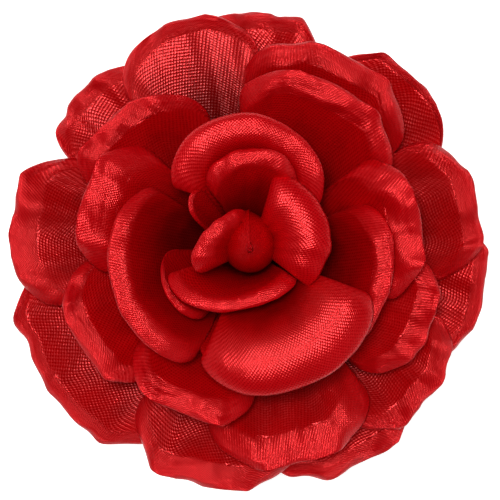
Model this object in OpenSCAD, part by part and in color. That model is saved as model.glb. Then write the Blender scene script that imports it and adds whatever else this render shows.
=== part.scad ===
// Satin rose on a spring hair clip. Millimetres, +Z up.
// The origin is on the underside of the clip's top arm, in the middle of the
// flower: the face that the hair is pressed against. The rose opens upwards and
// the clip runs along X underneath it, with its mouth towards +X.

/* [Rose] */
// Diameter over the outermost petals
rose_d = 100; // [96:1:104]
// Height of the tallest petal above the felt
rose_h = 34; // [32:1:36]
// Thickness of a petal, with its stiffening
petal_t = 0.5; // [0.3:0.1:0.6]
// Rows of facets on a petal, from its foot to its rim
petal_rows = 11; // [9:1:12]
// Columns of facets across a petal
petal_columns = 10; // [8:2:12]

/* [Felt back] */
// Diameter of the felt disc
felt_d = 42; // [36:1:46]
// Thickness of the felt
felt_t = 1.6; // [1:0.1:2.5]
// Thickness of the glue between the felt and the clip
glue_t = 0.6; // [0.3:0.1:1]

/* [Clip] */
// Reach of the clip's tip in front of the rose's middle
clip_front = 31; // [29:1:34]
// Reach of the clip's tail behind the rose's middle
clip_back = 31; // [28:1:34]
// Width of the clip over its outer ears
clip_w = 9.4; // [9.4:0.1:11]
// Thickness of the clip's sheet steel
sheet_t = 0.8; // [0.6:0.1:0.8]
// Radius of the hinge pin
pin_r = 1; // [0.9:0.05:1.1]
// Angle that the tail stands away from the top arm
tail_angle = 20; // [18:1:22]
// Number of teeth along each edge of the jaw
teeth = 9; // [6:1:10]
// Turns of the spring round the pin
spring_turns = 4; // [3:1:4]

/* [Hidden] */
$fn = 48;

satin = "#b8000a";
steel = "#c9ccd0";

felt_z = sheet_t + glue_t;
rose_z = felt_z + felt_t;

// ---------------------------------------------------------------- petals
// A petal is a strip of a bowl, from a foot on the core to a rolled rim. Levels
// number the feet up the core. Reach and crest are shares of the rose's radius
// and height; slope is the angle below the roll, droop how far the rim turns past
// level, twist the lift of one edge, corner the rounding of the two corners, dent
// and skew the change of reach across the petal, lean the shift of the rim.
roll_rows = floor(petal_rows / 2);
body_rows = petal_rows - roll_rows;
corner_power = 2.3;
side_curl = 0.8;
foot_gap = 0.35;

function foot_r(level) = 11.4 - 0.9 * level;
function foot_z(level) = rose_z + 0.9 + 1.2 * level;
function along(p, q, t) = p + (q - p) * t;
function bend(p0, p1, p2, t) = along(along(p0, p1, t), along(p1, p2, t), t);
function bend_angle(p0, p1, p2, t) =
    let (g = along(p1 - p0, p2 - p1, t)) atan2(g[1], g[0]);
function length_left(v, corner) =
    1 - corner * (1 - pow(max(0, 1 - pow(abs(v), corner_power)), 1 / corner_power));

// Point, in radius and height, and slope at share u of the way up a petal.
function petal_body(p0, p1, p2, full, u) = [
    bend(p0, p1, p2, u * full), bend_angle(p0, p1, p2, u * full)
];
function petal_roll(start, roll, turn, u) =
    let (a0 = start[1], a = a0 - turn * u,
         c = start[0] + roll * [sin(a0), -cos(a0)])
    [c + roll * [-sin(a), cos(a)], a];

module petal(level, direction, half_width, reach, crest, slope, roll, droop,
             twist = 0.8, corner = 0.36, dent = 0, skew = 0, lean = [0, 0]) {
    r = reach * rose_d / 2;
    top = rose_z + crest * rose_h;
    p0 = [foot_r(level), foot_z(level)];
    p2 = [r - roll * sin(min(droop, 90)) - roll * sin(slope), top - roll + roll * cos(slope)];
    p1 = p2 - 0.5 * norm(p2 - p0) * [cos(slope), sin(slope)];
    turn = slope + droop;

    function spot(i, j, side) =
        let (v = sin(180 * j / petal_columns - 90),
             full = length_left(v, corner),
             q = i <= body_rows
                 ? petal_body(p0, p1, p2, full, i / body_rows)
                 : petal_roll(petal_body(p0, p1, p2, full, 1), roll, turn,
                              (i - body_rows) / roll_rows),
             u = i / petal_rows,
             share = min(1, i / body_rows) * full,
             lift = twist * v * min(1, 0.3 + u) - side_curl * pow(abs(v), 4) * u
                    + side * petal_t / 2,
             s = q[0] + lift * [-sin(q[1]), cos(q[1])],
             r = s[0] * (1 + share * (dent * v * v + skew * v)),
             a = direction + half_width * v)
        [r * cos(a) + lean[0] * share, r * sin(a) + lean[1] * share, s[1]];

    n = petal_rows + 1;
    m = petal_columns + 1;
    points = [for (side = [1, -1]) for (j = [0:m - 1]) for (i = [0:n - 1]) spot(i, j, side)];
    front = [for (j = [0:m - 2]) for (i = [0:n - 2]) let (k = j * n + i)
             each [[k, k + n, k + 1], [k + 1, k + n, k + n + 1]]];
    back = [for (f = front) [f[0] + n * m, f[2] + n * m, f[1] + n * m]];
    loop = concat([for (i = [0:n - 2]) i], [for (j = [0:m - 2]) j * n + n - 1],
                  [for (i = [n - 1:-1:1]) (m - 1) * n + i], [for (j = [m - 1:-1:1]) j * n]);
    edge = [for (k = [0:len(loop) - 1])
            let (a = loop[k], b = loop[(k + 1) % len(loop)])
            each [[a, b, b + n * m], [a, b + n * m, a + n * m]]];
    polyhedron(points, concat(front, back, edge), convexity = 8);
}

// The four rings of open petals, each with its own rise.
module outer(direction, half_width, reach, slope, roll, droop, corner = 0.38, twist = 1.2) {
    color(satin)
    petal(0, direction, half_width, reach, 0.30, slope, roll, droop, twist = twist, corner = corner);
}
module second(direction, half_width, reach, slope, roll, droop, corner = 0.34) {
    color(satin)
    petal(1.2, direction, half_width, reach, 0.42, slope, roll, droop, corner = corner);
}
module third(direction, half_width, reach, crest, slope, roll, droop, skew = 0) {
    color(satin)
    petal(2.5, direction, half_width, reach, crest, slope, roll, droop, corner = 0.34, skew = skew);
}
module fourth(direction, half_width, reach, slope, roll, droop, level = 3.8, crest = 0.66) {
    color(satin)
    petal(level, direction, half_width, reach, crest, slope, roll, droop, corner = 0.34);
}

module outer_petal_1() { outer(88, 20.5, 1, 16, 6, 18, corner = 0.36); }
module outer_petal_2() { outer(45, 22, 1, 28, 2.5, 8, corner = 0.36); }
module outer_petal_3() { outer(-13, 24, 1, 26, 4, 16); }
module outer_petal_4() { outer(-64, 24, 1.02, 26, 5, 20); }
module outer_petal_5() { outer(-147, 33, 1.03, 28, 4, 14, corner = 0.34); }
module outer_petal_6() { outer(136, 19, 0.98, 14, 8, 12, twist = 0.6); }

module second_petal_1() { second(108, 21, 1, 9, 9, 12); }
module second_petal_2() { second(12, 22, 0.965, 32, 5, 16, corner = 0.36); }
module second_petal_3() { second(-40, 22, 0.965, 32, 5, 18, corner = 0.36); }
module second_petal_4() { second(-101, 25, 1, 30, 6, 18); }
module second_petal_5() { second(174, 22.5, 1, 24, 8, 18); }

module third_petal_1() { third(63, 29, 0.89, 0.54, 38, 5, 14); }
module third_petal_2() { third(133, 26, 0.78, 0.56, 38, 5, 14, skew = 0.08); }
module third_petal_3() { third(207, 24, 0.8, 0.56, 38, 5, 16); }
module third_petal_4() { third(283, 27, 0.9, 0.54, 36, 7, 22); }
module third_petal_5() { third(335, 23, 0.8, 0.56, 38, 5, 18); }

module fourth_petal_1() { fourth(61, 33, 0.75, 46, 5, 14); }
module fourth_petal_2() { fourth(162, 27, 0.71, 38, 8, 20); }
module fourth_petal_3() { fourth(246, 26, 0.72, 46, 5, 16); }
module fourth_petal_4() { fourth(9, 29, 0.7, 42, 7, 18, level = 4.5, crest = 0.71); }

// The cups round the middle, and two petals that show only in their gaps.
module cup_petal_1() {
    color(satin) petal(5.2, 195, 48, 0.57, 0.78, 52, 3.6, 30, corner = 0.3);
}
module cup_petal_2() {
    color(satin) petal(6.3, 293, 47, 0.585, 0.91, 45, 11, 34, corner = 0.34);
}
module cup_petal_3() {
    color(satin) petal(5.2, 343, 40, 0.58, 0.76, 54, 3.4, 25);
}
module cup_petal_4() {
    color(satin) petal(5.2, 92, 40, 0.5, 0.72, 52, 2, 30);
}
module tucked_petal_1() {
    color(satin) petal(6.1, 208, 28, 0.38, 0.72, 62, 1, 20);
}
module tucked_petal_2() {
    color(satin) petal(5.2, 252, 12, 0.48, 0.7, 56, 1.2, 30);
}

// The wrapped petals of the bud.
module hood_petal() {
    color(satin)
    petal(7, 84, 78, 0.335, 0.88, 58, 4.6, 35, corner = 0.26, dent = 0.1, skew = 0.05,
          lean = [0, 10.1]);
}
module smile_petal() {
    color(satin)
    petal(8.1, 90, 42, 0.33, 0.92, 58, 2.6, 40, twist = 0.4, corner = 0.3, lean = [0.6, 3.5]);
}
module scroll_petal() {
    color(satin)
    petal(8.3, 178, 42, 0.12, 0.87, 80, 0.7, 30, twist = 0, corner = 0.2, lean = [-6.2, 9.2]);
}
module blade_petal() {
    color(satin)
    petal(9, 150, 56, 0.185, 0.97, 66, 1.6, 40, twist = 0.3, corner = 0.3, dent = 0.4,
          skew = 0.26);
}
module cradle_petal() {
    color(satin)
    petal(7.6, 262, 66, 0.24, 0.86, 64, 2.4, 28, corner = 0.26, dent = 0.5, skew = -0.42);
}
module side_petal() {
    color(satin)
    petal(8.4, 12, 48, 0.285, 0.93, 85, 7, 42, twist = 0.3, corner = 0.26, lean = [1, 1]);
}
module bud_petal() {
    color(satin) petal(10, -82, 166, 0.045, 1, 94, 1, -60, twist = 0.3, corner = 0.1);
}

module bud_core() {
    color("#8e0008")
    rotate_extrude()
    polygon([[0, rose_z], [foot_r(0) - foot_gap + 0.5, rose_z],
             [foot_r(10) - foot_gap - 0.5, foot_z(10)], [0, foot_z(10) + 0.5]]);
}

module felt_base() {
    color("#a3070f")
    translate([0, 0, felt_z]) cylinder(h = felt_t, d = felt_d);
}

// ------------------------------------------------------------------ clip
pin_x = -11;
pin_z = -3.4;
ear_gap = 0.2;
ear_in = clip_w / 2 - 2 * sheet_t - ear_gap;
jaw_half = 2.9;
wire_r = 0.4;
coil_r = 1.7;
coil_pitch = 0.9;

module glue_pad() {
    pad_l = 44;
    pad_w = 7;
    color("#e8e2cf")
    translate([0, 0, sheet_t]) linear_extrude(glue_t) {
        square([pad_l - pad_w, pad_w], center = true);
        for (x = [-1, 1]) translate([x * (pad_l - pad_w) / 2, 0]) circle(d = pad_w);
    }
}

module top_arm() {
    half = clip_w / 2;
    ear_x = 6;
    color(steel) {
        linear_extrude(sheet_t) {
            polygon([[-clip_back + half, -half], [8, -half], [20, -jaw_half],
                     [clip_front - jaw_half, -jaw_half], [clip_front - jaw_half, jaw_half],
                     [20, jaw_half], [8, half], [-clip_back + half, half]]);
            translate([clip_front - jaw_half, 0]) circle(jaw_half);
            translate([-clip_back + half, 0]) circle(half);
        }
        for (y = [-half, half - sheet_t])
        translate([pin_x, y + sheet_t, 0]) rotate([90, 0, 0]) linear_extrude(sheet_t)
        difference() {
            union() {
                polygon([[-ear_x, 0.1], [-2.6, pin_z], [2.6, pin_z], [ear_x, 0.1]]);
                translate([0, pin_z]) circle(2.6);
            }
            translate([0, pin_z]) circle(pin_r + 0.02);
        }
    }
}

// Underside of the lower arm, from its tail to its tip.
plate_z = pin_z - coil_r - wire_r - 1;
tail_drop = (clip_back - 13) * tan(tail_angle);
function arm_line(dz) = [
    [-clip_back, plate_z - tail_drop + dz], [-13, plate_z + dz], [-8, plate_z + dz],
    [2, plate_z + 1.6 + dz], [clip_front, -2.4 + dz]
];
function fall_to(x) = along(plate_z + 1.6, -2.4, (x - 2) / (clip_front - 2));

module lower_arm() {
    line = arm_line(0);
    under = arm_line(-sheet_t);
    far = clip_front + 1;
    color(steel) {
        intersection() {
            translate([0, clip_w, 0]) rotate([90, 0, 0]) linear_extrude(2 * clip_w)
            polygon([line[0], line[1], line[2], line[3], line[4],
                     under[4], under[3], under[2], under[1], under[0]]);
            translate([0, 0, -clip_back]) linear_extrude(2 * clip_back) {
                half = ear_in + sheet_t;
                polygon([[-clip_back + 2, -half], [2, -half], [12, -jaw_half],
                         [clip_front - 1.5, -jaw_half], [clip_front - 1.5, jaw_half],
                         [12, jaw_half], [2, half], [-clip_back + 2, half]]);
                translate([clip_front - 1.5, 0]) scale(1) circle(1.5);
                translate([clip_front - 1.5, 0]) square([3, 2 * jaw_half - 3], center = true);
                for (y = [-1, 1]) translate([clip_front - 1.5, y * (jaw_half - 1.5)]) circle(1.5);
                for (y = [-1, 1]) translate([-clip_back + 2, y * (half - 2)]) circle(2);
                translate([-clip_back + 1, 0]) square([2, 2 * half - 4], center = true);
            }
        }
        for (y = [-ear_in - sheet_t, ear_in])
        translate([pin_x, y + sheet_t, 0]) rotate([90, 0, 0]) linear_extrude(sheet_t)
        difference() {
            union() {
                translate([0, pin_z]) circle(2.2);
                polygon([[-2.2, pin_z], [-2.2, plate_z - 0.1], [5, plate_z + 0.1], [2.2, pin_z]]);
            }
            translate([0, pin_z]) circle(pin_r + 0.15);
        }
        tooth_l = (clip_front - 1.5 - 13) / teeth;
        for (y = [-jaw_half, jaw_half - sheet_t])
        translate([0, y + sheet_t, 0]) rotate([90, 0, 0]) linear_extrude(sheet_t)
        polygon(concat(
            [[13, fall_to(13) - 0.2]],
            [for (i = [0:teeth - 1]) each [[13 + i * tooth_l, -1.4],
                                          [13 + (i + 0.5) * tooth_l, -0.2]]],
            [[clip_front - 1.5, -1.4], [clip_front - 1.5, fall_to(clip_front - 1.5) - 0.2]]));
    }
}

module hinge_pin() {
    head = 0.5;
    half = clip_w / 2;
    color(steel)
    translate([pin_x, 0, pin_z]) rotate([90, 0, 0]) rotate_extrude()
    polygon([[0, -half - head], [1.1, -half - head + 0.1], [1.6, -half], [pin_r, -half],
             [pin_r, half], [1.6, half], [1.1, half + head - 0.1], [0, half + head]]);
}

// Music wire wound round the pin, one leg under each half of the tail.
function leg_angle(x, z, side) =
    let (d = norm([x - pin_x, z - pin_z]))
    atan2(z - pin_z, x - pin_x) + side * acos(coil_r / d);

module torsion_spring() {
    sides = 8;
    steps = 16;
    leg_x = -25;
    top_z = -wire_r - 0.1;
    low_z = plate_z - (-13 - leg_x) * tan(tail_angle) + wire_r / cos(tail_angle) + 0.3;
    a0 = leg_angle(leg_x, low_z, 1);
    a1 = leg_angle(leg_x, top_z, -1) + 360 * spring_turns;
    count = ceil((a1 - a0) / 360 * steps);
    y0 = -coil_pitch * (a1 - a0) / 720;
    coil = [for (i = [0:count]) let (a = along(a0, a1, i / count))
            [pin_x + coil_r * cos(a), y0 + coil_pitch * (a - a0) / 360, pin_z + coil_r * sin(a)]];
    path = concat([[leg_x, y0, low_z]], coil, [[leg_x, -y0, top_z]]);
    last = len(path) - 1;
    rings = [for (i = [0:last])
        let (d = path[min(i + 1, last)] - path[max(i - 1, 0)], t = d / norm(d),
             e = [0, 1, 0] - t * t[1], e1 = e / norm(e), e2 = cross(t, e1))
        for (k = [0:sides - 1])
        path[i] + wire_r * (cos(360 * k / sides) * e1 + sin(360 * k / sides) * e2)];
    skin = [for (i = [0:last - 1]) for (k = [0:sides - 1])
        let (a = i * sides + k, b = i * sides + (k + 1) % sides)
        each [[b, a, b + sides], [b + sides, a, a + sides]]];
    color("#9a9ea4")
    polyhedron(rings, concat(skin, [[for (k = [0:sides - 1]) k]],
                             [[for (k = [sides - 1:-1:0]) last * sides + k]]), convexity = 8);
}

felt_base();
bud_core();
outer_petal_1();
outer_petal_2();
outer_petal_3();
outer_petal_4();
outer_petal_5();
outer_petal_6();
second_petal_1();
second_petal_2();
second_petal_3();
second_petal_4();
second_petal_5();
third_petal_1();
third_petal_2();
third_petal_3();
third_petal_4();
third_petal_5();
fourth_petal_1();
fourth_petal_2();
fourth_petal_3();
fourth_petal_4();
cup_petal_1();
cup_petal_2();
cup_petal_3();
cup_petal_4();
tucked_petal_1();
tucked_petal_2();
hood_petal();
smile_petal();
scroll_petal();
blade_petal();
cradle_petal();
side_petal();
bud_petal();
glue_pad();
top_arm();
lower_arm();
hinge_pin();
torsion_spring();
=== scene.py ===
import math
import bpy
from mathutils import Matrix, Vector


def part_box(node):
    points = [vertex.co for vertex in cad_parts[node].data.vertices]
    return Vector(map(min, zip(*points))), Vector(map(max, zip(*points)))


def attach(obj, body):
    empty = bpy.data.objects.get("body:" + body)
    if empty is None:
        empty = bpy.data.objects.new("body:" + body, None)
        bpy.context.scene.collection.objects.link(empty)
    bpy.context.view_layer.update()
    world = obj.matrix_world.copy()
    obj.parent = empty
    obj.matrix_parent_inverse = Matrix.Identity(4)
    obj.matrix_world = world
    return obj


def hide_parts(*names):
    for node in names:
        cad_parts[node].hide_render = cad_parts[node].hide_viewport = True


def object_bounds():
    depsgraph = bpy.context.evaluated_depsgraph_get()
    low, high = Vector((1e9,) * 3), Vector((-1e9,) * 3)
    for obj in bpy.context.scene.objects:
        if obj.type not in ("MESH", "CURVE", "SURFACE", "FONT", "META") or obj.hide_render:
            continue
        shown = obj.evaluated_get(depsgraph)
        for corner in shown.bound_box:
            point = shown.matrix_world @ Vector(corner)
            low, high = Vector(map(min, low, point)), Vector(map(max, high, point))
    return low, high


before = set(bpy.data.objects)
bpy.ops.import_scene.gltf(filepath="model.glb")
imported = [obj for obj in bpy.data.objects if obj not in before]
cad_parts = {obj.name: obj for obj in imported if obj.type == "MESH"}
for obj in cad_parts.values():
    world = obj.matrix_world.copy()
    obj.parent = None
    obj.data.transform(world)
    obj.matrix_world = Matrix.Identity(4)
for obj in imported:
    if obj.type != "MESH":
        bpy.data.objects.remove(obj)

cad_box = [list(corner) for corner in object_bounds()]


# ---- Floor, light and camera ------------------------------------------------
# A white paper sweep, lit from within so that it stays white, just under the tail of
# the clip. A soft box hangs high above the camera, which looks straight down into the
# rose: the satin shines where it faces up, and falls away to dark red in its folds.

def linear(hex_colour):
    """An sRGB hex colour as linear red, green, blue and alpha."""
    parts = [int(hex_colour[i:i + 2], 16) / 255 for i in (1, 3, 5)]
    return [p / 12.92 if p <= 0.04045 else ((p + 0.055) / 1.055) ** 2.4 for p in parts] + [1.0]


def add(tree, kind, inputs=(), **settings):
    """Adds a node: settings are its properties, inputs its values or the sockets that feed it."""
    node = tree.nodes.new(kind)
    for name, value in settings.items():
        setattr(node, name, value)
    pairs = inputs.items() if isinstance(inputs, dict) else enumerate(inputs)
    for key, value in pairs:
        if value is None:
            continue
        if isinstance(value, bpy.types.Node):
            value = value.outputs[0]
        if isinstance(value, bpy.types.NodeSocket):
            tree.links.new(value, node.inputs[key])
        else:
            node.inputs[key].default_value = value
    return node


def new_material(name):
    """An empty node material: its tree, and the node for its surface."""
    material = bpy.data.materials.new(name)
    material.use_nodes = True
    return material, material.node_tree, material.node_tree.nodes["Principled BSDF"]


def two_tone(tree, surface, factor, dark, light, places=(0.0, 1.0)):
    """Colours a surface from one hex colour to another, as the factor goes between two places."""
    tone = add(tree, "ShaderNodeValToRGB", {"Fac": factor})
    for stop, place, colour in zip(tone.color_ramp.elements, places, (dark, light)):
        stop.position, stop.color = place, linear(colour)
    tree.links.new(tone.outputs["Color"], surface.inputs["Base Color"])


def mesh_object(name, points, faces, material=None):
    """A mesh object at the origin, from points in metres."""
    mesh = bpy.data.meshes.new(name)
    mesh.from_pydata([tuple(p) for p in points], [], faces)
    mesh.update()
    if material:
        mesh.materials.append(material)
    obj = bpy.data.objects.new(name, mesh)
    bpy.context.scene.collection.objects.link(obj)
    return obj


# Paper: an even white with the faintest grain, so that nothing is seen but the rose.
paper, tree, surface = new_material("white_paper")
grain = add(tree, "ShaderNodeTexNoise", {"Scale": 900.0, "Detail": 2.0})
two_tone(tree, surface, grain.outputs["Fac"], "#F6F5F3", "#FCFCFB")
surface.inputs["Roughness"].default_value = 0.9
surface.inputs["Emission Color"].default_value = linear("#FFFFFF")
surface.inputs["Emission Strength"].default_value = 0.6

floor_gap, half_sweep = 0.0004, 2.0
floor_z = cad_box[0][2] - floor_gap
corners = [(x * half_sweep, y * half_sweep, floor_z) for x, y in ((-1, -1), (1, -1), (1, 1), (-1, 1))]
floor = mesh_object("paper_sweep", corners, [(0, 1, 2, 3)], paper)


def soft_box(name, place, target, size, power, colour="#FFFFFF"):
    """A square studio soft box at a place, turned to its target."""
    light = bpy.data.lights.new(name, "AREA")
    light.shape, light.size, light.energy = "SQUARE", size, power
    light.color = linear(colour)[:3]
    obj = bpy.data.objects.new(name, light)
    obj.location = place
    obj.rotation_mode = "QUATERNION"
    obj.rotation_quaternion = (Vector(target) - Vector(place)).to_track_quat("-Z", "Y")
    bpy.context.scene.collection.objects.link(obj)


rose_middle = (0, 0, 0.02)
soft_box("soft_box_over_camera", (-0.05, 0.08, 0.75), rose_middle, 0.2, 5.6)
soft_box("soft_box_far_left", (-0.5, 0.35, 0.45), rose_middle, 0.35, 0.5)
soft_box("soft_box_far_right", (0.55, -0.3, 0.4), rose_middle, 0.35, 0.3)

room = bpy.data.worlds.new("studio")
bpy.context.scene.world = room
room.use_nodes = True
backdrop = room.node_tree.nodes["Background"]
backdrop.inputs["Color"].default_value = linear("#FFFFFF")
backdrop.inputs["Strength"].default_value = 0.04
bpy.context.scene.view_settings.view_transform = "Standard"

# The picture is 104.2 mm across at the height of the petals' rims.
view_width, lens, sensor = 0.1042, 100.0, 36.0
rim_z = 0.016
camera = bpy.data.objects.new("camera", bpy.data.cameras.new("camera"))
camera.data.lens, camera.data.sensor_width = lens, sensor
camera.location = (0, 0, rim_z + view_width * lens / sensor)
bpy.context.scene.collection.objects.link(camera)
bpy.context.scene.camera = camera


# ---- Bud core ---------------------------------------------------------------
# A turned cone of red-dyed foam, the peg that the petals are bound to. Polyester
# binding thread is wound round it from the felt up, over each petal's foot in turn.

core_low, core_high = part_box("bud_core")


def revolve(name, profile, sides, material=None):
    """A closed turned piece about Z, from (radius, height) pairs that start and end on the axis."""
    rings = profile[1:-1]
    points = [(0, 0, profile[0][1])]
    for radius, height in rings:
        turns = [2 * math.pi * k / sides for k in range(sides)]
        points += [(radius * math.cos(turn), radius * math.sin(turn), height) for turn in turns]
    points.append((0, 0, profile[-1][1]))
    faces = [(0, 1 + (k + 1) % sides, 1 + k) for k in range(sides)]
    for ring in range(len(rings) - 1):
        start = 1 + ring * sides
        faces += [(start + k, start + (k + 1) % sides, start + sides + (k + 1) % sides, start + sides + k)
                  for k in range(sides)]
    last = 1 + (len(rings) - 1) * sides
    faces += [(last + k, last + (k + 1) % sides, len(points) - 1) for k in range(sides)]
    obj = mesh_object(name, points, faces, material)
    obj.data.shade_smooth()
    return obj


def grown(obj, tree, values):
    """The plain mesh that a node tree makes on an object, with its inputs set by name."""
    shaper = obj.modifiers.new("grow", "NODES")
    shaper.node_group = tree
    for item in tree.interface.items_tree:
        if item.item_type == "SOCKET" and item.in_out == "INPUT" and item.name in values:
            value = values[item.name]
            shaper[item.identifier] = float(value) if isinstance(value, (int, float)) else value
    graph = bpy.context.evaluated_depsgraph_get()
    made = bpy.data.meshes.new_from_object(obj.evaluated_get(graph), depsgraph=graph)
    obj.modifiers.remove(shaper)
    obj.data = made
    return obj


def new_rule(name, numbers, others):
    """A geometry node tree with one output: its numbers by usual value, its other inputs by type."""
    tree = bpy.data.node_groups.new(name, "GeometryNodeTree")
    for socket, kind in others.items():
        tree.interface.new_socket(socket, in_out="INPUT", socket_type="NodeSocket" + kind)
    for socket, value in numbers.items():
        number = tree.interface.new_socket(socket, in_out="INPUT", socket_type="NodeSocketFloat")
        number.default_value = value
    tree.interface.new_socket("Geometry", in_out="OUTPUT", socket_type="NodeSocketGeometry")
    return tree, tree.nodes.new("NodeGroupInput").outputs


def close_rule(tree, geometry, material):
    """Ends a node tree: its geometry made real and given its material."""
    made = add(tree, "GeometryNodeRealizeInstances", {"Geometry": geometry})
    dressed = add(tree, "GeometryNodeSetMaterial", {"Geometry": made, "Material": material})
    tree.links.new(dressed.outputs[0], tree.nodes.new("NodeGroupOutput").inputs[0])
    return tree


# Dyed foam: a dull dark red with open pores, so that the gaps in the rose stay dark.
foam, tree, surface = new_material("dyed_bud_foam")
spot = add(tree, "ShaderNodeTexCoord")
pores = add(tree, "ShaderNodeTexVoronoi", {"Vector": spot.outputs["Object"], "Scale": 1400.0})
two_tone(tree, surface, pores.outputs["Distance"], "#2E0002", "#5C0006")
pitted = add(tree, "ShaderNodeBump", {"Strength": 0.6, "Distance": 0.0003,
                                      "Height": pores.outputs["Distance"]})
tree.links.new(pitted.outputs["Normal"], surface.inputs["Normal"])
surface.inputs["Specular IOR Level"].default_value = 0.1
surface.inputs["Roughness"].default_value = 0.95

# Polyester binding thread: a little lighter than the foam, with a soft twisted sheen.
thread, tree, surface = new_material("binding_thread")
spot = add(tree, "ShaderNodeTexCoord")
twist = add(tree, "ShaderNodeTexWave", {"Vector": spot.outputs["Object"], "Scale": 900.0, "Distortion": 1.5},
            bands_direction="DIAGONAL")
two_tone(tree, surface, twist.outputs["Fac"], "#6A0006", "#A2080F")
surface.inputs["Roughness"].default_value = 0.55
surface.inputs["Sheen Weight"].default_value = 0.2


def winding_rule():
    """The tree that winds a thread round a cone: a spiral with a round section."""
    usual = {"Low Radius": 0.01, "High Radius": 0.002, "Low": 0.003, "Height": 0.012, "Turns": 24.0,
             "Thickness": 0.0002}
    tree, given = new_rule("wound_thread", usual, {"Material": "Material"})
    spiral = add(tree, "GeometryNodeCurveSpiral",
                 {"Resolution": 40, "Rotations": given["Turns"], "Start Radius": given["Low Radius"],
                  "End Radius": given["High Radius"], "Height": given["Height"]})
    lifted = add(tree, "GeometryNodeSetPosition",
                 {"Geometry": spiral, "Offset": add(tree, "ShaderNodeCombineXYZ",
                                                    [None, None, given["Low"]])})
    section = add(tree, "GeometryNodeCurvePrimitiveCircle", {"Resolution": 6, "Radius": given["Thickness"]})
    tube = add(tree, "GeometryNodeCurveToMesh",
               {"Curve": lifted, "Profile Curve": section.outputs["Curve"], "Fill Caps": True})
    smooth = add(tree, "GeometryNodeSetShadeSmooth", {"Geometry": tube})
    return close_rule(tree, smooth, given["Material"])


low_radius, high_radius = core_high[0], 0.0016
core_profile = [(0, core_low[2]), (low_radius - 0.0004, core_low[2]), (low_radius, core_low[2] + 0.0003),
                (high_radius, core_high[2] - 0.0008), (high_radius * 0.5, core_high[2] - 0.0001),
                (0, core_high[2])]
core = revolve("foam_core", core_profile, 48, foam)
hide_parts("bud_core")
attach(core, "rose_and_top_arm")
thread_radius, thread_turns = 0.00018, 26
wound_low, wound_high = core_low[2] + 0.0006, core_high[2] - 0.0010
windings = grown(mesh_object("binding_thread", [], []), winding_rule(),
                 {"Low Radius": low_radius, "High Radius": high_radius + 0.0002, "Low": wound_low,
                  "Height": wound_high - wound_low, "Turns": thread_turns, "Thickness": thread_radius,
                  "Material": thread})
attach(windings, "rose_and_top_arm")


# ---- Satin petals -----------------------------------------------------------
# Each petal is cut from red polyester dress satin with a hot knife, and its rim is
# rolled back over a warm rod, so that it curls under in short straight creases. The
# petals are bound by their feet round the core, the widest ones first.

# These are the solids' own sizes, in mm. The felt's top is over the top arm's underside,
# and each level inwards takes a foot in by foot_inset and up by level_rise.
rose_radius, rose_height, felt_top = 50.0, 34.0, 3.0
foot_radius, foot_inset, foot_lift, level_rise = 11.4, 0.9, 0.9, 1.2
body_share = 0.68                       # of a petal's rows, the rest being its roll
cloth_thickness = 0.00025               # metres
corner_round = 2.3                      # power that rounds the cut's two corners
kink_reach, kink_fade = 3.4, 1.8        # mm that a kink spreads to each side, and its fading's power
kink_longer, kink_unrolled = 0.045, 0.9         # shares: how far it draws the cloth out, and unrolls it
kink_valley, side_curl, rim_tuck = 1.6, 0.8, 0.3        # mm that the cloth sinks there
deep_painted_shade, open_painted_shade, deep_level = 1.3, 0.95, 5       # how fast the painted shade darkens folds above a level, and below it
painted_shade_per_mm = 0.03                      # painted shade: darkening per mm under the rim
warp_scale, weft_scale, narrowest_map = 0.01, 0.0085, 6.0    # the weave's map per mm, and its least radius

# The cloth's unevenness: its size (a share for the rim, mm for the rest), then how often
# it changes along the petal and across it.
rim_wave, rim_wave_step = 0.085, 0.075
swell_depth, swell_scale, swell_across = 4.5, 1.7, 1.6
streak_depth, streak_along, streak_across = 1.3, 9.0, 1.8
fold_depth, fold_along, fold_across = 2.4, (3.6, -1.5), (2.0, 2.2)


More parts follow.
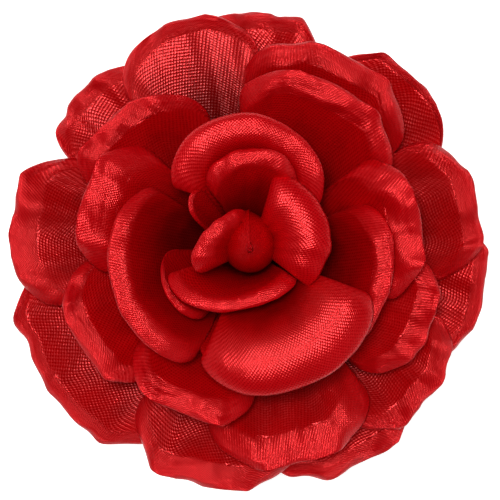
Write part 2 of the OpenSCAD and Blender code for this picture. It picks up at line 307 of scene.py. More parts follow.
def petal_rule():
    """The tree that makes one petal: a strip of a bowl with a rolled, creased rim, in mm."""
    # Painted Shade sets how fast the petal's painted shade darkens it under its rim.
    usual = {"Foot Radius": 11.0, "Foot Height": 4.0, "Reach": 50.0, "Crest": 13.0, "Slope": 20.0,
             "Roll": 4.0, "Droop": 35.0, "Direction": 0.0, "Half Width": 24.0, "Corner": 0.4, "Twist": 1.0,
             "Dent": 0.0, "Skew": 0.0, "Kink 1": 9.0, "Kink 2": 9.0, "Kink 3": 9.0, "Kink Depth": 0.3,
             "Crumple": 0.6, "Painted Shade": 1.0, "Bias": 0.0, "Seed": 0.0, "Rows": 84.0, "Columns": 96.0}
    tree, given = new_rule("rolled_petal", usual, {"Lean": "Vector", "Satin": "Material"})
    M = "ShaderNodeMath"
    V = "ShaderNodeVectorMath"

    # A flat grid: x runs from the foot to the rim and y across, both from -0.5 to 0.5.
    grid = add(tree, "GeometryNodeMeshGrid",
               {"Size X": 1.0, "Size Y": 1.0, "Vertices X": given["Rows"], "Vertices Y": given["Columns"]})
    place = add(tree, "ShaderNodeSeparateXYZ", [add(tree, "GeometryNodeInputPosition")])
    up = add(tree, M, [place.outputs["X"], 0.5], operation="ADD", use_clamp=True)
    side = add(tree, M, [add(tree, M, [place.outputs["Y"], math.pi], operation="MULTIPLY")], operation="SINE")
    width = add(tree, M, [add(tree, M, [side], operation="ABSOLUTE"), 1.0], operation="MINIMUM")

    # The cut's outline: shorter towards its two corners, as a rounded square is.
    round_off = add(tree, M, [width, corner_round], operation="POWER")
    round_off = add(tree, M, [1.0, round_off], operation="SUBTRACT", use_clamp=True)
    round_off = add(tree, M, [round_off, 1 / corner_round], operation="POWER")
    short = add(tree, M, [1.0, round_off], operation="SUBTRACT")
    short = add(tree, M, [short, given["Corner"]], operation="MULTIPLY")

    # Up to three kinks in the rim: 1 at a kink, fading over a few millimetres to its sides.
    around_rim = add(tree, M, [add(tree, M, [given["Half Width"]], operation="RADIANS"), given["Reach"]],
                     operation="MULTIPLY")
    slack = None
    for name in ("Kink 1", "Kink 2", "Kink 3"):
        off = add(tree, M, [add(tree, M, [side, given[name]], operation="SUBTRACT")], operation="ABSOLUTE")
        off = add(tree, M, [add(tree, M, [off, around_rim], operation="MULTIPLY"), kink_reach],
                  operation="DIVIDE")
        off = add(tree, M, [add(tree, M, [off, kink_fade], operation="POWER"), -1.0], operation="MULTIPLY")
        one = add(tree, M, [off], operation="EXPONENT")
        slack = add(tree, M, [slack, one], operation="MAXIMUM") if slack else one
    slack = add(tree, M, [slack, given["Kink Depth"]], operation="MULTIPLY")
    along_rim = add(tree, M, [side, around_rim], operation="MULTIPLY")
    along_rim = add(tree, M, [along_rim, rim_wave_step, given["Seed"]], operation="MULTIPLY_ADD")
    wave = add(tree, "ShaderNodeTexNoise", {"W": along_rim, "Scale": 1.0, "Detail": 1.0},
               noise_dimensions="1D")
    wave = add(tree, M, [wave.outputs["Fac"], 0.5], operation="SUBTRACT")
    wave_size = add(tree, M, [given["Crumple"], rim_wave], operation="MULTIPLY")
    wave = add(tree, M, [wave, wave_size], operation="MULTIPLY")
    longer = add(tree, M, [slack, kink_longer, wave], operation="MULTIPLY_ADD")
    full = add(tree, M, [add(tree, M, [1.0, short], operation="SUBTRACT"), longer], operation="ADD")

    # The body, as a bend through three points in radius (x) and height (z).
    slope = add(tree, M, [given["Slope"]], operation="RADIANS")
    slope_cos = add(tree, M, [slope], operation="COSINE")
    slope_sin = add(tree, M, [slope], operation="SINE")
    heading = add(tree, "ShaderNodeCombineXYZ", [slope_cos, None, slope_sin])
    inward_rise = add(tree, M, [slope_cos, -1.0], operation="MULTIPLY")
    outward = add(tree, "ShaderNodeCombineXYZ", [slope_sin, None, inward_rise])
    droop = add(tree, M, [add(tree, M, [given["Droop"], 90.0], operation="MINIMUM")], operation="RADIANS")
    reach_in = add(tree, M, [add(tree, M, [droop], operation="SINE"), given["Roll"]], operation="MULTIPLY")
    axle = add(tree, "ShaderNodeCombineXYZ",
               [add(tree, M, [given["Reach"], reach_in], operation="SUBTRACT"), None,
                add(tree, M, [given["Crest"], given["Roll"]], operation="SUBTRACT")])
    shift = add(tree, V, {0: outward, "Scale": given["Roll"]}, operation="SCALE")
    end = add(tree, V, [axle, shift], operation="SUBTRACT")
    foot = add(tree, "ShaderNodeCombineXYZ", [given["Foot Radius"], None, given["Foot Height"]])
    span = add(tree, V, [add(tree, V, [end, foot], operation="SUBTRACT")], operation="LENGTH")
    back = add(tree, M, [span.outputs["Value"], 0.5], operation="MULTIPLY")
    middle = add(tree, V, [end, add(tree, V, {0: heading, "Scale": back}, operation="SCALE")],
                 operation="SUBTRACT")

    climb = add(tree, M, [add(tree, M, [up, body_share], operation="DIVIDE"), 1.0], operation="MINIMUM")
    share = add(tree, M, [climb, full], operation="MULTIPLY")
    rolled = add(tree, M, [add(tree, M, [up, body_share], operation="SUBTRACT", use_clamp=True),
                           1 - body_share],
                 operation="DIVIDE")
    low = add(tree, "ShaderNodeMix", {"Factor": share}, data_type="VECTOR")
    high = add(tree, "ShaderNodeMix", {"Factor": share}, data_type="VECTOR")
    for mix, first, last in ((low, foot, middle), (high, middle, end)):
        tree.links.new(first.outputs[0], mix.inputs[4])
        tree.links.new(last.outputs[0], mix.inputs[5])
    line = add(tree, "ShaderNodeMix", {"Factor": share, 4: low.outputs[1], 5: high.outputs[1]},
               data_type="VECTOR")
    run = add(tree, V, [add(tree, V, [high.outputs[1], low.outputs[1]], operation="SUBTRACT")],
              operation="NORMALIZE")
    run_xyz = add(tree, "ShaderNodeSeparateXYZ", [run])
    rise = add(tree, "ShaderNodeCombineXYZ",
               [add(tree, M, [run_xyz.outputs["Z"], -1.0], operation="MULTIPLY"), None, run_xyz.outputs["X"]])

    # The roll: an arc of fixed length, turned less and so wider at the kinks.
    whole = add(tree, M, [add(tree, M, [given["Slope"], given["Droop"]], operation="ADD")],
                operation="RADIANS")
    arc = add(tree, M, [whole, given["Roll"]], operation="MULTIPLY")
    ease = add(tree, M, [slack, -kink_unrolled, 1.0], operation="MULTIPLY_ADD")
    turn = add(tree, M, [whole, ease], operation="MULTIPLY")
    radius = add(tree, M, [arc, turn], operation="DIVIDE")
    angle = add(tree, M, [turn, rolled], operation="MULTIPLY")
    angle_sin = add(tree, M, [angle], operation="SINE")
    angle_cos = add(tree, M, [angle], operation="COSINE")
    on = add(tree, V, {0: run, "Scale": add(tree, M, [radius, angle_sin], operation="MULTIPLY")},
             operation="SCALE")
    fall = add(tree, M, [add(tree, M, [angle_cos, 1.0], operation="SUBTRACT"), radius], operation="MULTIPLY")
    down = add(tree, V, {0: rise, "Scale": fall}, operation="SCALE")
    section = add(tree, V, [add(tree, V, [line.outputs[1], on], operation="ADD"), down], operation="ADD")
    normal = add(tree, V, [add(tree, V, {0: rise, "Scale": angle_cos}, operation="SCALE"),
                           add(tree, V, {0: run, "Scale": angle_sin}, operation="SCALE")], operation="ADD")

    # Off the section: one edge lifted, both sides curled back, valleys behind the kinks
    # and the uneven swell that hand-curled satin has.
    settle = add(tree, M, [add(tree, M, [up, 0.3], operation="ADD"), 1.0], operation="MINIMUM")
    lift = add(tree, M, [add(tree, M, [side, given["Twist"]], operation="MULTIPLY"), settle],
               operation="MULTIPLY")
    curl = add(tree, M, [add(tree, M, [width, 4.0], operation="POWER"), -side_curl], operation="MULTIPLY")
    lift = add(tree, M, [curl, up, lift], operation="MULTIPLY_ADD")
    valley = add(tree, M, [add(tree, M, [up, 2.0], operation="POWER"), slack], operation="MULTIPLY")
    lift = add(tree, M, [valley, -kink_valley, lift], operation="MULTIPLY_ADD")

    def uneven(lift, along, across, scale, depth, power, **settings):
        """Lifts the cloth by a noise that grows towards the rim."""
        spot = add(tree, "ShaderNodeCombineXYZ", [along, across, given["Seed"]])
        noise = add(tree, "ShaderNodeTexNoise", {"Vector": spot, "Scale": scale, **settings})
        noise = add(tree, M, [noise.outputs["Fac"], 0.5], operation="SUBTRACT")
        growth = add(tree, M, [add(tree, M, [up, power], operation="POWER"), depth], operation="MULTIPLY")
        noise = add(tree, M, [noise, growth], operation="MULTIPLY")
        return add(tree, M, [noise, given["Crumple"], lift], operation="MULTIPLY_ADD")

    across = add(tree, M, [side, swell_across], operation="MULTIPLY")
    lift = uneven(lift, up, across, swell_scale, swell_depth, 1.0, Detail=1.5, Roughness=0.4)
    along = add(tree, M, [up, streak_along], operation="MULTIPLY")
    across = add(tree, M, [side, streak_across], operation="MULTIPLY")
    lift = uneven(lift, along, across, 1.0, streak_depth, 4.0, Detail=1.0, Roughness=0.5)
    slants = []
    for lengthways, sideways in zip(fold_along, fold_across):
        aslant = add(tree, M, [side, sideways], operation="MULTIPLY")
        slants.append(add(tree, M, [up, lengthways, aslant], operation="MULTIPLY_ADD"))
    lift = uneven(lift, slants[0], slants[1], 1.0, fold_depth, 3.0, Detail=0.0)
    tuck = add(tree, M, [add(tree, M, [rolled, 12.0], operation="POWER"), -rim_tuck], operation="MULTIPLY")
    lift = add(tree, M, [tuck, lift], operation="ADD")
    section = add(tree, V, [section, add(tree, V, {0: normal, "Scale": lift}, operation="SCALE")],
                  operation="ADD")

    # Round the rose, with the dent and skew of the inner petals' reach.
    section_xyz = add(tree, "ShaderNodeSeparateXYZ", [section])
    bulge = add(tree, M, [side, given["Dent"], given["Skew"]], operation="MULTIPLY_ADD")
    bulge = add(tree, M, [bulge, side], operation="MULTIPLY")
    bulge = add(tree, M, [bulge, share, 1.0], operation="MULTIPLY_ADD")
    out = add(tree, M, [section_xyz.outputs["X"], bulge], operation="MULTIPLY")
    bearing = add(tree, M, [side, given["Half Width"], given["Direction"]], operation="MULTIPLY_ADD")
    bearing = add(tree, M, [bearing], operation="RADIANS")
    around = add(tree, "ShaderNodeCombineXYZ",
                 [add(tree, M, [add(tree, M, [bearing], operation="COSINE"), out], operation="MULTIPLY"),
                  add(tree, M, [add(tree, M, [bearing], operation="SINE"), out], operation="MULTIPLY"),
                  section_xyz.outputs["Z"]])
    lean = add(tree, V, {0: given["Lean"], "Scale": share}, operation="SCALE")
    around = add(tree, V, [around, lean], operation="ADD")
    around = add(tree, V, {0: around, "Scale": 0.001}, operation="SCALE")

    # The weave's map: threads along and across the cut, one unit to 100 mm along it. A
    # second map holds the depth under the rim, from which the satin's colour gets painted shade that darkens
    # the folds.
    length = add(tree, M, [span.outputs["Value"], arc], operation="ADD")
    warp = add(tree, M, [add(tree, M, [up, length], operation="MULTIPLY"), warp_scale], operation="MULTIPLY")
    weft = add(tree, M, [side, add(tree, M, [given["Half Width"]], operation="RADIANS")],
               operation="MULTIPLY")
    across = add(tree, M, [given["Reach"], given["Foot Radius"]], operation="SUBTRACT")
    across = add(tree, M, [up, across, given["Foot Radius"]], operation="MULTIPLY_ADD")
    across = add(tree, M, [across, narrowest_map], operation="MAXIMUM")
    weft = add(tree, M, [weft, across], operation="MULTIPLY")
    weft = add(tree, M, [weft, weft_scale], operation="MULTIPLY")
    bias = add(tree, M, [given["Bias"]], operation="RADIANS")
    on_bias = add(tree, "ShaderNodeVectorRotate",
                  {"Vector": add(tree, "ShaderNodeCombineXYZ", [weft, warp]), "Angle": bias},
                  rotation_type="Z_AXIS")
    cut_map = add(tree, "GeometryNodeStoreNamedAttribute",
                  {"Geometry": grid.outputs["Mesh"], "Name": "cut", "Value": on_bias},
                  data_type="FLOAT2", domain="CORNER")
    # Painted shade: the depth under the rim, times how fast the petal is shaded, is stored for the satin to
    # darken its colour by.
    depth = add(tree, M, [add(tree, M, [1.0, up], operation="SUBTRACT"), length], operation="MULTIPLY")
    depth = add(tree, M, [depth, given["Painted Shade"]], operation="MULTIPLY")
    painted_shade_map = add(tree, "GeometryNodeStoreNamedAttribute",
                    {"Geometry": cut_map, "Name": "depth",
                     "Value": add(tree, M, [depth, painted_shade_per_mm], operation="MULTIPLY")},
                    data_type="FLOAT", domain="POINT")
    shaped = add(tree, "GeometryNodeSetPosition", {"Geometry": painted_shade_map, "Position": around})
    smooth = add(tree, "GeometryNodeSetShadeSmooth", {"Geometry": shaped})
    return close_rule(tree, smooth, given["Satin"])


petal_tree = petal_rule()

# Red polyester dress satin: an even red, darkened deep in the folds by painted shade, and where it
# faces the light a soft streak of pink dots, the floats of its weave, drawn larger than real so they show.
satin, tree, surface = new_material("red_polyester_satin")
cut = add(tree, "ShaderNodeUVMap", uv_map="cut")
thread_gap = 0.64                       # mm
threads = add(tree, "ShaderNodeVectorMath", {0: cut.outputs["UV"], "Scale": 2 * math.pi * 100 / thread_gap},
              operation="SCALE")
threads = add(tree, "ShaderNodeSeparateXYZ", [threads])
warp = add(tree, "ShaderNodeMath", [threads.outputs["X"]], operation="SINE")
weft = add(tree, "ShaderNodeMath", [threads.outputs["Y"]], operation="SINE")
weave = add(tree, "ShaderNodeMath", [warp, weft], operation="MULTIPLY")
weave = add(tree, "ShaderNodeMath", [weave, 0.5, 0.5], operation="MULTIPLY_ADD")
slub = add(tree, "ShaderNodeTexNoise", {"Vector": cut.outputs["UV"], "Scale": 240.0, "Detail": 2.0})
dye = add(tree, "ShaderNodeTexNoise", {"Vector": cut.outputs["UV"], "Scale": 22.0, "Detail": 2.0})
float_dots = add(tree, "ShaderNodeMath", [slub.outputs["Fac"], 0.8, weave], operation="MULTIPLY_ADD")
# Painted shade: the depth under the rim, with a random dye tone, runs the colour from bright red down to dark
# red deep in the folds.
depth = add(tree, "ShaderNodeAttribute", attribute_name="depth")
dye_and_painted_shade = add(tree, "ShaderNodeMath", [dye.outputs["Fac"], 0.3, depth.outputs["Fac"]], operation="MULTIPLY_ADD")
colour = add(tree, "ShaderNodeValToRGB", {"Fac": dye_and_painted_shade})
ramp = colour.color_ramp
ramp.elements[0].position, ramp.elements[1].position = 0.15, 1.0
ramp.elements[0].color, ramp.elements[1].color = linear("#C6000A"), linear("#520000")
ramp.elements.new(0.5).color = linear("#B40004")
ramp.elements.new(0.8).color = linear("#7C0000")
picked = add(tree, "ShaderNodeMapRange", {"Value": float_dots, "From Min": 0.2, "From Max": 1.2,
                                          "To Min": 0.9, "To Max": 1.07})
thread = add(tree, "ShaderNodeMix", {"Factor": 1.0, 6: colour.outputs["Color"], 7: picked.outputs["Result"]},
             data_type="RGBA", blend_type="MULTIPLY")
tree.links.new(thread.outputs[2], surface.inputs["Base Color"])
gloss = add(tree, "ShaderNodeMapRange", {"Value": float_dots, "From Min": 0.2, "From Max": 1.15,
                                         "To Min": 0.5, "To Max": 0.27})
tree.links.new(gloss.outputs["Result"], surface.inputs["Roughness"])
lustre = add(tree, "ShaderNodeMapRange", {"Value": float_dots, "From Min": 0.3, "From Max": 1.2,
                                          "To Min": 0.1, "To Max": 0.48})
tree.links.new(lustre.outputs["Result"], surface.inputs["Metallic"])
raised = add(tree, "ShaderNodeBump", {"Strength": 1.0, "Distance": 0.00006, "Height": float_dots})
tree.links.new(raised.outputs["Normal"], surface.inputs["Normal"])
surface.inputs["Specular IOR Level"].default_value = 0.28
surface.inputs["Anisotropic"].default_value = 0.3
warp_way = add(tree, "ShaderNodeTangent", direction_type="UV_MAP", uv_map="cut")
tree.links.new(warp_way.outputs["Tangent"], surface.inputs["Tangent"])


petal_count, seed_step = 0, 3.7


def petal(name, level, direction, half_width, reach, crest, slope, roll, droop, twist=0.8, corner=0.36,
          dent=0.0, skew=0.0, lean=(0, 0), kinks=(), depth=0.9, crumple=0.8, bias=0):
    """Shapes one petal by the rule, gives it the satin's thickness and binds it in place.

    Directions, widths, slopes, droops, kinks and the weave's bias are in degrees; reach and
    crest are shares of the rose's radius and height; roll and lean are in millimetres.
    """
    global petal_count
    petal_count += 1
    obj = mesh_object(name + "_satin", [], [])
    # The inner petals get painted shade that darkens faster than the outer rings'.
    values = {"Foot Radius": foot_radius - foot_inset * level,
              "Foot Height": felt_top + foot_lift + level_rise * level,
              "Reach": reach * rose_radius, "Crest": felt_top + crest * rose_height, "Slope": slope,
              "Roll": roll, "Droop": droop, "Direction": direction, "Half Width": half_width,
              "Corner": corner, "Twist": twist, "Dent": dent, "Skew": skew, "Kink Depth": depth,
              "Crumple": crumple, "Painted Shade": deep_painted_shade if level > deep_level else open_painted_shade, "Bias": bias,
              "Seed": petal_count * seed_step, "Lean": (lean[0], lean[1], 0.0), "Satin": satin}
    for number, bearing in enumerate(kinks):
        values["Kink " + str(number + 1)] = (bearing - direction) / half_width
    grown(obj, petal_tree, values)
    cloth = obj.modifiers.new("thickness", "SOLIDIFY")
    cloth.thickness, cloth.offset = cloth_thickness, 0.0
    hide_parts(name)
    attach(obj, "rose_and_top_arm")


# The outer ring, lying almost flat.
petal("outer_petal_1", 0, 88, 20.5, 1.00, 0.30, 16, 6, 18, twist=1.2, corner=0.36, kinks=(89, 78), bias=20)
petal("outer_petal_2", 0, 45, 22, 1.00, 0.30, 28, 2.5, 8, twist=1.2, corner=0.36, kinks=(55, 43), crumple=0.4)
petal("outer_petal_3", 0, -13, 24, 1.00, 0.30, 26, 4, 16, twist=1.2, corner=0.38, kinks=(-14, 0), bias=30)
petal("outer_petal_4", 0, -64, 24, 1.02, 0.30, 26, 5, 20, twist=1.2, corner=0.38, kinks=(-55, -70), bias=-30)
petal("outer_petal_5", 0, -147, 33, 1.03, 0.30, 28, 4, 14, twist=1.2, corner=0.34, kinks=(-163, -145, -128),
      bias=15)
petal("outer_petal_6", 0, 136, 19, 0.98, 0.30, 14, 8, 12, twist=0.6, corner=0.38, kinks=(139, 149), bias=-20)

# The second ring, over the joints of the outer one.
petal("second_petal_1", 1.2, 108, 21, 1.00, 0.42, 9, 9, 12, corner=0.34, kinks=(115, 101), depth=0.4, bias=25)
petal("second_petal_2", 1.2, 12, 22, 0.965, 0.42, 32, 5, 16, corner=0.36, kinks=(17, 3), bias=-25)
petal("second_petal_3", 1.2, -40, 22, 0.965, 0.42, 32, 5, 18, corner=0.36, kinks=(-35, -48), bias=35)
petal("second_petal_4", 1.2, -101, 25, 1.00, 0.42, 30, 6, 18, corner=0.34, kinks=(-112, -94), bias=-15)
petal("second_petal_5", 1.2, 174, 22.5, 1.00, 0.42, 24, 8, 18, corner=0.34, kinks=(162, 176), bias=25)

# The third and fourth rings, rising towards the middle with sharper rims.
petal("third_petal_1", 2.5, 63, 29, 0.89, 0.54, 38, 5, 14, corner=0.34, kinks=(70, 52), bias=-30)
petal("third_petal_2", 2.5, 133, 26, 0.78, 0.56, 38, 5, 14, corner=0.34, skew=0.08, kinks=(150, 129), bias=20)
petal("third_petal_3", 2.5, 207, 24, 0.80, 0.56, 38, 5, 16, corner=0.34, kinks=(201, 222), bias=-20)
petal("third_petal_4", 2.5, 283, 27, 0.90, 0.54, 36, 7, 22, corner=0.34, kinks=(291, 275), bias=35)
petal("third_petal_5", 2.5, 335, 23, 0.80, 0.56, 38, 5, 18, corner=0.34, kinks=(332, 345), bias=-35)
petal("fourth_petal_1", 3.8, 61, 33, 0.75, 0.66, 46, 5, 14, corner=0.34, kinks=(74, 49), bias=30)
petal("fourth_petal_2", 3.8, 162, 27, 0.71, 0.66, 38, 8, 20, corner=0.34, kinks=(169, 150), bias=-25)
petal("fourth_petal_3", 3.8, 246, 26, 0.72, 0.66, 46, 5, 16, corner=0.34, kinks=(236, 260), bias=20)
petal("fourth_petal_4", 4.5, 9, 29, 0.70, 0.71, 42, 7, 18, corner=0.34, kinks=(17, -4), bias=-20)

# The cups round the middle, and two petals that show only in their gaps.
petal("cup_petal_1", 5.2, 195, 48, 0.57, 0.78, 52, 3.6, 30, corner=0.30, kinks=(200,), depth=0.3, bias=30,
      crumple=0.5)
petal("cup_petal_2", 6.3, 293, 47, 0.585, 0.91, 45, 11, 34, corner=0.34, depth=0.0, crumple=0.3)
petal("cup_petal_3", 5.2, 343, 40, 0.58, 0.76, 54, 3.4, 25, kinks=(325, 350), depth=0.4, bias=-30,
      crumple=0.6)
petal("cup_petal_4", 5.2, 92, 40, 0.50, 0.72, 52, 2, 30)
petal("tucked_petal_1", 6.1, 208, 28, 0.38, 0.72, 62, 1, 20, crumple=0.3)
petal("tucked_petal_2", 5.2, 252, 12, 0.48, 0.70, 56, 1.2, 30, crumple=0.3)

# The wrapped petals, from the hood in to the closed bud.
petal("hood_petal", 7, 84, 78, 0.335, 0.88, 58, 4.6, 35, corner=0.26, dent=0.1, skew=0.05, lean=(0, 10.1),
      crumple=0.4)
petal("smile_petal", 8.1, 90, 42, 0.33, 0.92, 58, 2.6, 40, twist=0.4, corner=0.3, lean=(0.6, 3.5), bias=20,
      crumple=0.4)
petal("scroll_petal", 8.3, 178, 42, 0.12, 0.87, 80, 0.7, 30, twist=0, corner=0.2, lean=(-6.2, 9.2),
      crumple=0.1)
petal("blade_petal", 9.0, 150, 56, 0.185, 0.97, 62, 2.2, 45, twist=0.3, corner=0.3, dent=0.4, skew=0.26,
      crumple=0.3)
petal("cradle_petal", 7.6, 262, 66, 0.24, 0.86, 64, 2.4, 28, corner=0.26, dent=0.5, skew=-0.42, crumple=0.3)
petal("side_petal", 8.4, 18, 56, 0.30, 0.93, 85, 7, 42, twist=0.3, corner=0.22, lean=(1.0, 1.4), bias=-20,
      crumple=0.4)
petal("bud_petal", 10, -82, 187, -0.016, 1.0, 146, 1.0, -132, twist=0.1, corner=0.0, dent=1.5, skew=0.1,
      crumple=0.0)


# ---- Felt back --------------------------------------------------------------
# A die-cut disc of red wool felt glued over the bound feet of the petals. It hides
# the thread and gives the clip something to stick to; its cut edge is a little hairy.

# Wool felt: matt mottled red, matted from fibres, with a soft halo of sheen.
felt, tree, surface = new_material("red_wool_felt")
spot = add(tree, "ShaderNodeTexCoord")
matted = add(tree, "ShaderNodeTexNoise", {"Vector": spot.outputs["Object"], "Scale": 700.0, "Detail": 6.0})
clumps = add(tree, "ShaderNodeTexNoise", {"Vector": spot.outputs["Object"], "Scale": 90.0, "Detail": 2.0})
mixed = add(tree, "ShaderNodeMath", [matted.outputs["Fac"], 0.6, clumps.outputs["Fac"]],
            operation="MULTIPLY_ADD")
two_tone(tree, surface, mixed, "#7C040A", "#B8141C", (0.55, 1.0))
hairy = add(tree, "ShaderNodeBump", {"Strength": 0.8, "Distance": 0.0003, "Height": matted.outputs["Fac"]})
tree.links.new(hairy.outputs["Normal"], surface.inputs["Normal"])
surface.inputs["Roughness"].default_value = 0.95
surface.inputs["Sheen Weight"].default_value = 0.5
surface.inputs["Sheen Tint"].default_value = linear("#FF9A9A")


def fibre_rule():
    """The tree that stands short bent fibres all over a piece."""
    tree, given = new_rule("felt_fibres", {"Density": 1000000.0, "Length": 0.0008, "Seed": 3.0},
                           {"Geometry": "Geometry", "Material": "Material"})
    spots = add(tree, "GeometryNodeDistributePointsOnFaces",
                {"Mesh": given["Geometry"], "Density": given["Density"], "Seed": given["Seed"]})
    hair = add(tree, "GeometryNodeCurvePrimitiveBezierSegment",
               {"Resolution": 4, "Start": (0, 0, 0), "Start Handle": (0, 0, 0.4), "End Handle": (0.5, 0, 0.5),
                "End": (0.9, 0, 0.35)})
    section = add(tree, "GeometryNodeCurvePrimitiveCircle", {"Resolution": 3, "Radius": 0.03})
    strand = add(tree, "GeometryNodeCurveToMesh", {"Curve": hair, "Profile Curve": section.outputs["Curve"]})
    spin = add(tree, "FunctionNodeRandomValue", {0: (0, 0, 0), 1: (0.7, 0.7, 6.28), "Seed": given["Seed"]},
               data_type="FLOAT_VECTOR")
    turned = add(tree, "FunctionNodeRotateRotation",
                 {"Rotation": spots.outputs["Rotation"],
                  "Rotate By": add(tree, "FunctionNodeEulerToRotation", [spin.outputs[0]])},
                  rotation_space="LOCAL")
    size = add(tree, "FunctionNodeRandomValue", {2: 0.5, 3: 1.2, "Seed": given["Seed"]}, data_type="FLOAT")
    size = add(tree, "ShaderNodeMath", [size.outputs[1], given["Length"]], operation="MULTIPLY")
    coat = add(tree, "GeometryNodeInstanceOnPoints",
               {"Points": spots.outputs["Points"], "Instance": strand, "Rotation": turned, "Scale": size})
    return close_rule(tree, coat, given["Material"])


felt_low, felt_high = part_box("felt_base")
felt_radius, felt_bottom, felt_round = felt_high[0], felt_low[2], 0.0003
felt_top_z, felt_flat = felt_high[2], felt_radius - felt_round
felt_profile = [(0, felt_bottom), (felt_radius * 0.5, felt_bottom), (felt_flat, felt_bottom),
                (felt_radius, felt_bottom + felt_round), (felt_radius, felt_top_z - felt_round),
                (felt_flat, felt_top_z), (felt_radius * 0.5, felt_top_z), (0, felt_top_z)]
disc = revolve("felt_disc", felt_profile, 96, felt)
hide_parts("felt_base")
nap_points = [vertex.co for vertex in disc.data.vertices]
nap_faces = [tuple(polygon.vertices) for polygon in disc.data.polygons]
nap = grown(mesh_object("felt_nap", nap_points, nap_faces), fibre_rule(),
            {"Density": 2200000, "Length": 0.0007, "Seed": 5, "Material": felt})
for piece in (disc, nap):
    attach(piece, "rose_and_top_arm")


# ---- Glue bead --------------------------------------------------------------
# Hot-melt glue run along the clip's top arm and pressed into the felt, so that it
# squeezed out in low uneven waves before it set.

# Hot-melt glue: cloudy cream with a waxy shine.
hot_melt, tree, surface = new_material("hot_melt_glue")
spot = add(tree, "ShaderNodeTexCoord")
cloud = add(tree, "ShaderNodeTexNoise", {"Vector": spot.outputs["Object"], "Scale": 350.0, "Detail": 3.0})
two_tone(tree, surface, cloud.outputs["Fac"], "#D9CFB2", "#F1ECDD")
waxy = add(tree, "ShaderNodeBump", {"Strength": 0.3, "Distance": 0.0003, "Height": cloud.outputs["Fac"]})
tree.links.new(waxy.outputs["Normal"], surface.inputs["Normal"])
surface.inputs["Roughness"].default_value = 0.3
surface.inputs["Subsurface Weight"].default_value = 0.25
surface.inputs["Subsurface Radius"].default_value = (0.002, 0.0018, 0.0014)

glue_low, glue_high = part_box("glue_pad")
glue_length, glue_width = glue_high[0] - glue_low[0], glue_high[1] - glue_low[1]
glue_rings = [(0.86, 0.0), (0.97, 0.2), (1.0, 0.5), (0.97, 0.8), (0.86, 1.0)]   # share of width, of height
outline, end_share = 120, 1.4
points, faces = [], []
for widen, rise in glue_rings:
    for k in range(outline):
        angle = 2 * math.pi * k / outline
        along_x = math.copysign(glue_length / 2 - glue_width / 2, math.cos(angle))
        along_x *= min(1, abs(math.cos(angle)) * end_share)
        wave = 0.0004 * math.sin(7 * angle + 1) + 0.00025 * math.sin(17 * angle)
        reach = glue_width / 2 * widen + wave
        points.append((along_x + reach * math.cos(angle), reach * math.sin(angle),
                       glue_low[2] + rise * (glue_high[2] - glue_low[2])))
for ring in range(len(glue_rings) - 1):
    for k in range(outline):
        a, b = ring * outline + k, ring * outline + (k + 1) % outline
        faces.append((a, b, b + outline, a + outline))
faces.append(tuple(reversed(range(outline))))
faces.append(tuple((len(glue_rings) - 1) * outline + k for k in range(outline)))
glue = mesh_object("glue_bead", points, faces, hot_melt)
glue.data.shade_smooth()
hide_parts("glue_pad")
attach(glue, "rose_and_top_arm")


# ---- Clip arms and pin ------------------------------------------------------
# Two arms blanked and folded from 0.8 mm steel sheet, with their ears turned to take
# a headed pin, then barrel-tumbled and nickel plated, so that every edge is eased.

# Bright nickel over steel: warm grey, with tumbling marks and a faint cloudiness.
nickel, tree, surface = new_material("nickel_plated_steel")
spot = add(tree, "ShaderNodeTexCoord")
stretched = add(tree, "ShaderNodeMapping", {"Vector": spot.outputs["Object"], "Scale": (1.0, 14.0, 14.0)})
scratches = add(tree, "ShaderNodeTexNoise", {"Vector": stretched, "Scale": 260.0, "Detail": 5.0})
haze = add(tree, "ShaderNodeTexNoise", {"Vector": spot.outputs["Object"], "Scale": 130.0, "Detail": 3.0})
two_tone(tree, surface, haze.outputs["Fac"], "#B3AEA6", "#D2CEC7", (0.3, 0.7))
worn = add(tree, "ShaderNodeMath", [scratches.outputs["Fac"], 0.5, haze.outputs["Fac"]],
           operation="MULTIPLY_ADD")
gloss = add(tree, "ShaderNodeMapRange", {"Value": worn, "From Min": 0.5, "From Max": 1.0, "To Min": 0.14,
                                         "To Max": 0.38})
tree.links.new(gloss.outputs["Result"], surface.inputs["Roughness"])
marked = add(tree, "ShaderNodeBump", {"Strength": 0.25, "Distance": 0.00003,
                                      "Height": scratches.outputs["Fac"]})
tree.links.new(marked.outputs["Normal"], surface.inputs["Normal"])
surface.inputs["Metallic"].default_value = 1.0

sharp_edge = math.radians(40)
for name, edge in (("top_arm", 0.00018), ("lower_arm", 0.00018), ("hinge_pin", 0.00012)):
    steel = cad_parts[name]
    steel.material_slots[0].material = nickel
    eased = steel.modifiers.new("eased_edges", "BEVEL")
    eased.width, eased.segments = edge, 2
    eased.limit_method, eased.angle_limit = "ANGLE", sharp_edge


# ---- Torsion spring ---------------------------------------------------------
# Music wire wound four turns round the pin, one leg against the top arm and the other
# on the lower arm's tail. The lower leg turns about the pin with the jaw, and its first
# part of a turn lies in the coil.

pin = Vector((-0.011, 0, -0.0034))     # the hinge's axis
wire, coil, pitch = 0.0004, 0.0017, 0.0009      # radius of the wire and of the coil, gap of the turns

# Music wire: darker than the nickel, drawn bright and lightly oiled.
music_wire, tree, surface = new_material("music_wire")
spot = add(tree, "ShaderNodeTexCoord")
drawn = add(tree, "ShaderNodeTexNoise", {"Vector": spot.outputs["Object"], "Scale": 900.0, "Detail": 3.0})
two_tone(tree, surface, drawn.outputs["Fac"], "#5E6064", "#8C8E92")
gloss = add(tree, "ShaderNodeMapRange", {"Value": drawn.outputs["Fac"], "To Min": 0.2, "To Max": 0.4})
tree.links.new(gloss.outputs["Result"], surface.inputs["Roughness"])
surface.inputs["Metallic"].default_value = 1.0


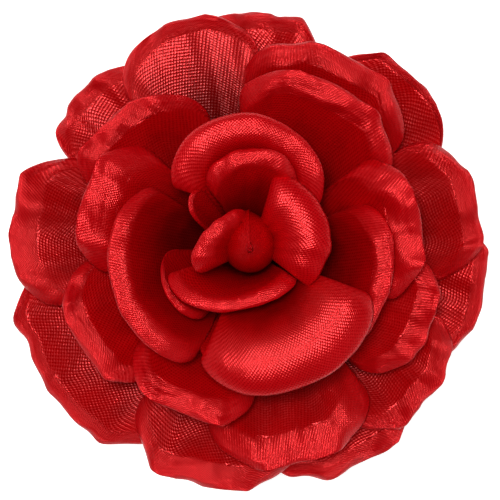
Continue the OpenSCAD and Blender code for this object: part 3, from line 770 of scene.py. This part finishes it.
def wire_rule():
    """The tree that winds a wire: a helix about Y through the pin, and straight legs from its ends."""
    wanted = ("Start", "End", "Drift", "Leg In X", "Leg In Z", "Leg Out X", "Leg Out Z", "Thickness")
    tree, given = new_rule("wound_wire", dict.fromkeys(wanted, 0.0), {"Material": "Material"})
    M = "ShaderNodeMath"
    count = 160
    line = add(tree, "GeometryNodeMeshLine", {"Count": count, "Offset": (0, 0, 0)})
    index = add(tree, "GeometryNodeInputIndex")
    # The first and last points of the line are the ends of the legs, where there are legs.
    share = add(tree, "ShaderNodeMapRange", {"Value": index, "From Min": 1.0, "From Max": count - 2.0,
                                             "To Min": given["Start"], "To Max": given["End"]})
    angle = add(tree, M, [share.outputs["Result"]], operation="RADIANS")
    sideways = add(tree, M, [share.outputs["Result"], given["Drift"]], operation="SUBTRACT")
    sideways = add(tree, M, [sideways, pitch / 360], operation="MULTIPLY")
    wound = add(tree, "ShaderNodeCombineXYZ",
                [add(tree, M, [add(tree, M, [angle], operation="COSINE"), coil, pin.x],
                     operation="MULTIPLY_ADD"),
                 sideways,
                 add(tree, M, [add(tree, M, [angle], operation="SINE"), coil, pin.z],
                     operation="MULTIPLY_ADD")])
    ends = wound
    for number, name in ((0, "Leg In"), (count - 1, "Leg Out")):
        at = add(tree, "ShaderNodeCombineXYZ", [given[name + " X"], sideways, given[name + " Z"]])
        here = add(tree, "FunctionNodeCompare", {2: index, 3: number}, data_type="INT", operation="EQUAL")
        used = add(tree, M, [given[name + " X"], 0.0], operation="LESS_THAN")
        both = add(tree, "FunctionNodeBooleanMath", [here, used], operation="AND")
        chosen = add(tree, "GeometryNodeSwitch", {"Switch": both, "False": ends, "True": at},
                     input_type="VECTOR")
        ends = chosen
    bent = add(tree, "GeometryNodeSetPosition", {"Geometry": line, "Position": ends})
    path = add(tree, "GeometryNodeMeshToCurve", {"Mesh": bent})
    section = add(tree, "GeometryNodeCurvePrimitiveCircle", {"Resolution": 14, "Radius": given["Thickness"]})
    tube = add(tree, "GeometryNodeCurveToMesh",
               {"Curve": path, "Profile Curve": section.outputs["Curve"], "Fill Caps": True})
    smooth = add(tree, "GeometryNodeSetShadeSmooth", {"Geometry": tube})
    return close_rule(tree, smooth, given["Material"])


def leg_angle(x, z, side):
    """The angle round the coil, in degrees, where a straight leg to (x, z) leaves it."""
    away = math.hypot(x - pin.x, z - pin.z)
    return math.degrees(math.atan2(z - pin.z, x - pin.x)) + side * math.degrees(math.acos(coil / away))


leg_x, high_z = -0.025, -0.0005
tail_slope, tail_bend_z, tail_run = math.radians(20), -0.0065, 0.012
seat_gap, coil_turns, lower_arc = 0.0003, 4, 30
inner_wire = 0.98       # the lower leg is drawn a touch thinner, where it lies inside the coil
low_z = tail_bend_z - tail_run * math.tan(tail_slope) + wire / math.cos(tail_slope) + seat_gap
start = leg_angle(leg_x, low_z, 1)
end = leg_angle(leg_x, high_z, -1) + 360 * coil_turns
centre = (start + end) / 2
wire_tree = wire_rule()
coiled = grown(mesh_object("spring_coil", [], []), wire_tree,
               {"Start": start, "End": end, "Drift": centre, "Leg In X": 0.0, "Leg In Z": 0.0,
                "Leg Out X": leg_x, "Leg Out Z": high_z, "Thickness": wire, "Material": music_wire})
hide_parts("torsion_spring")
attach(coiled, "rose_and_top_arm")
lower_leg = grown(mesh_object("spring_lower_leg", [], []), wire_tree,
                  {"Start": start, "End": start + lower_arc, "Drift": centre, "Leg In X": leg_x,
                   "Leg In Z": low_z, "Leg Out X": 0.0, "Leg Out Z": 0.0,
                   "Thickness": wire * inner_wire, "Material": music_wire})
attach(lower_leg, "jaw")
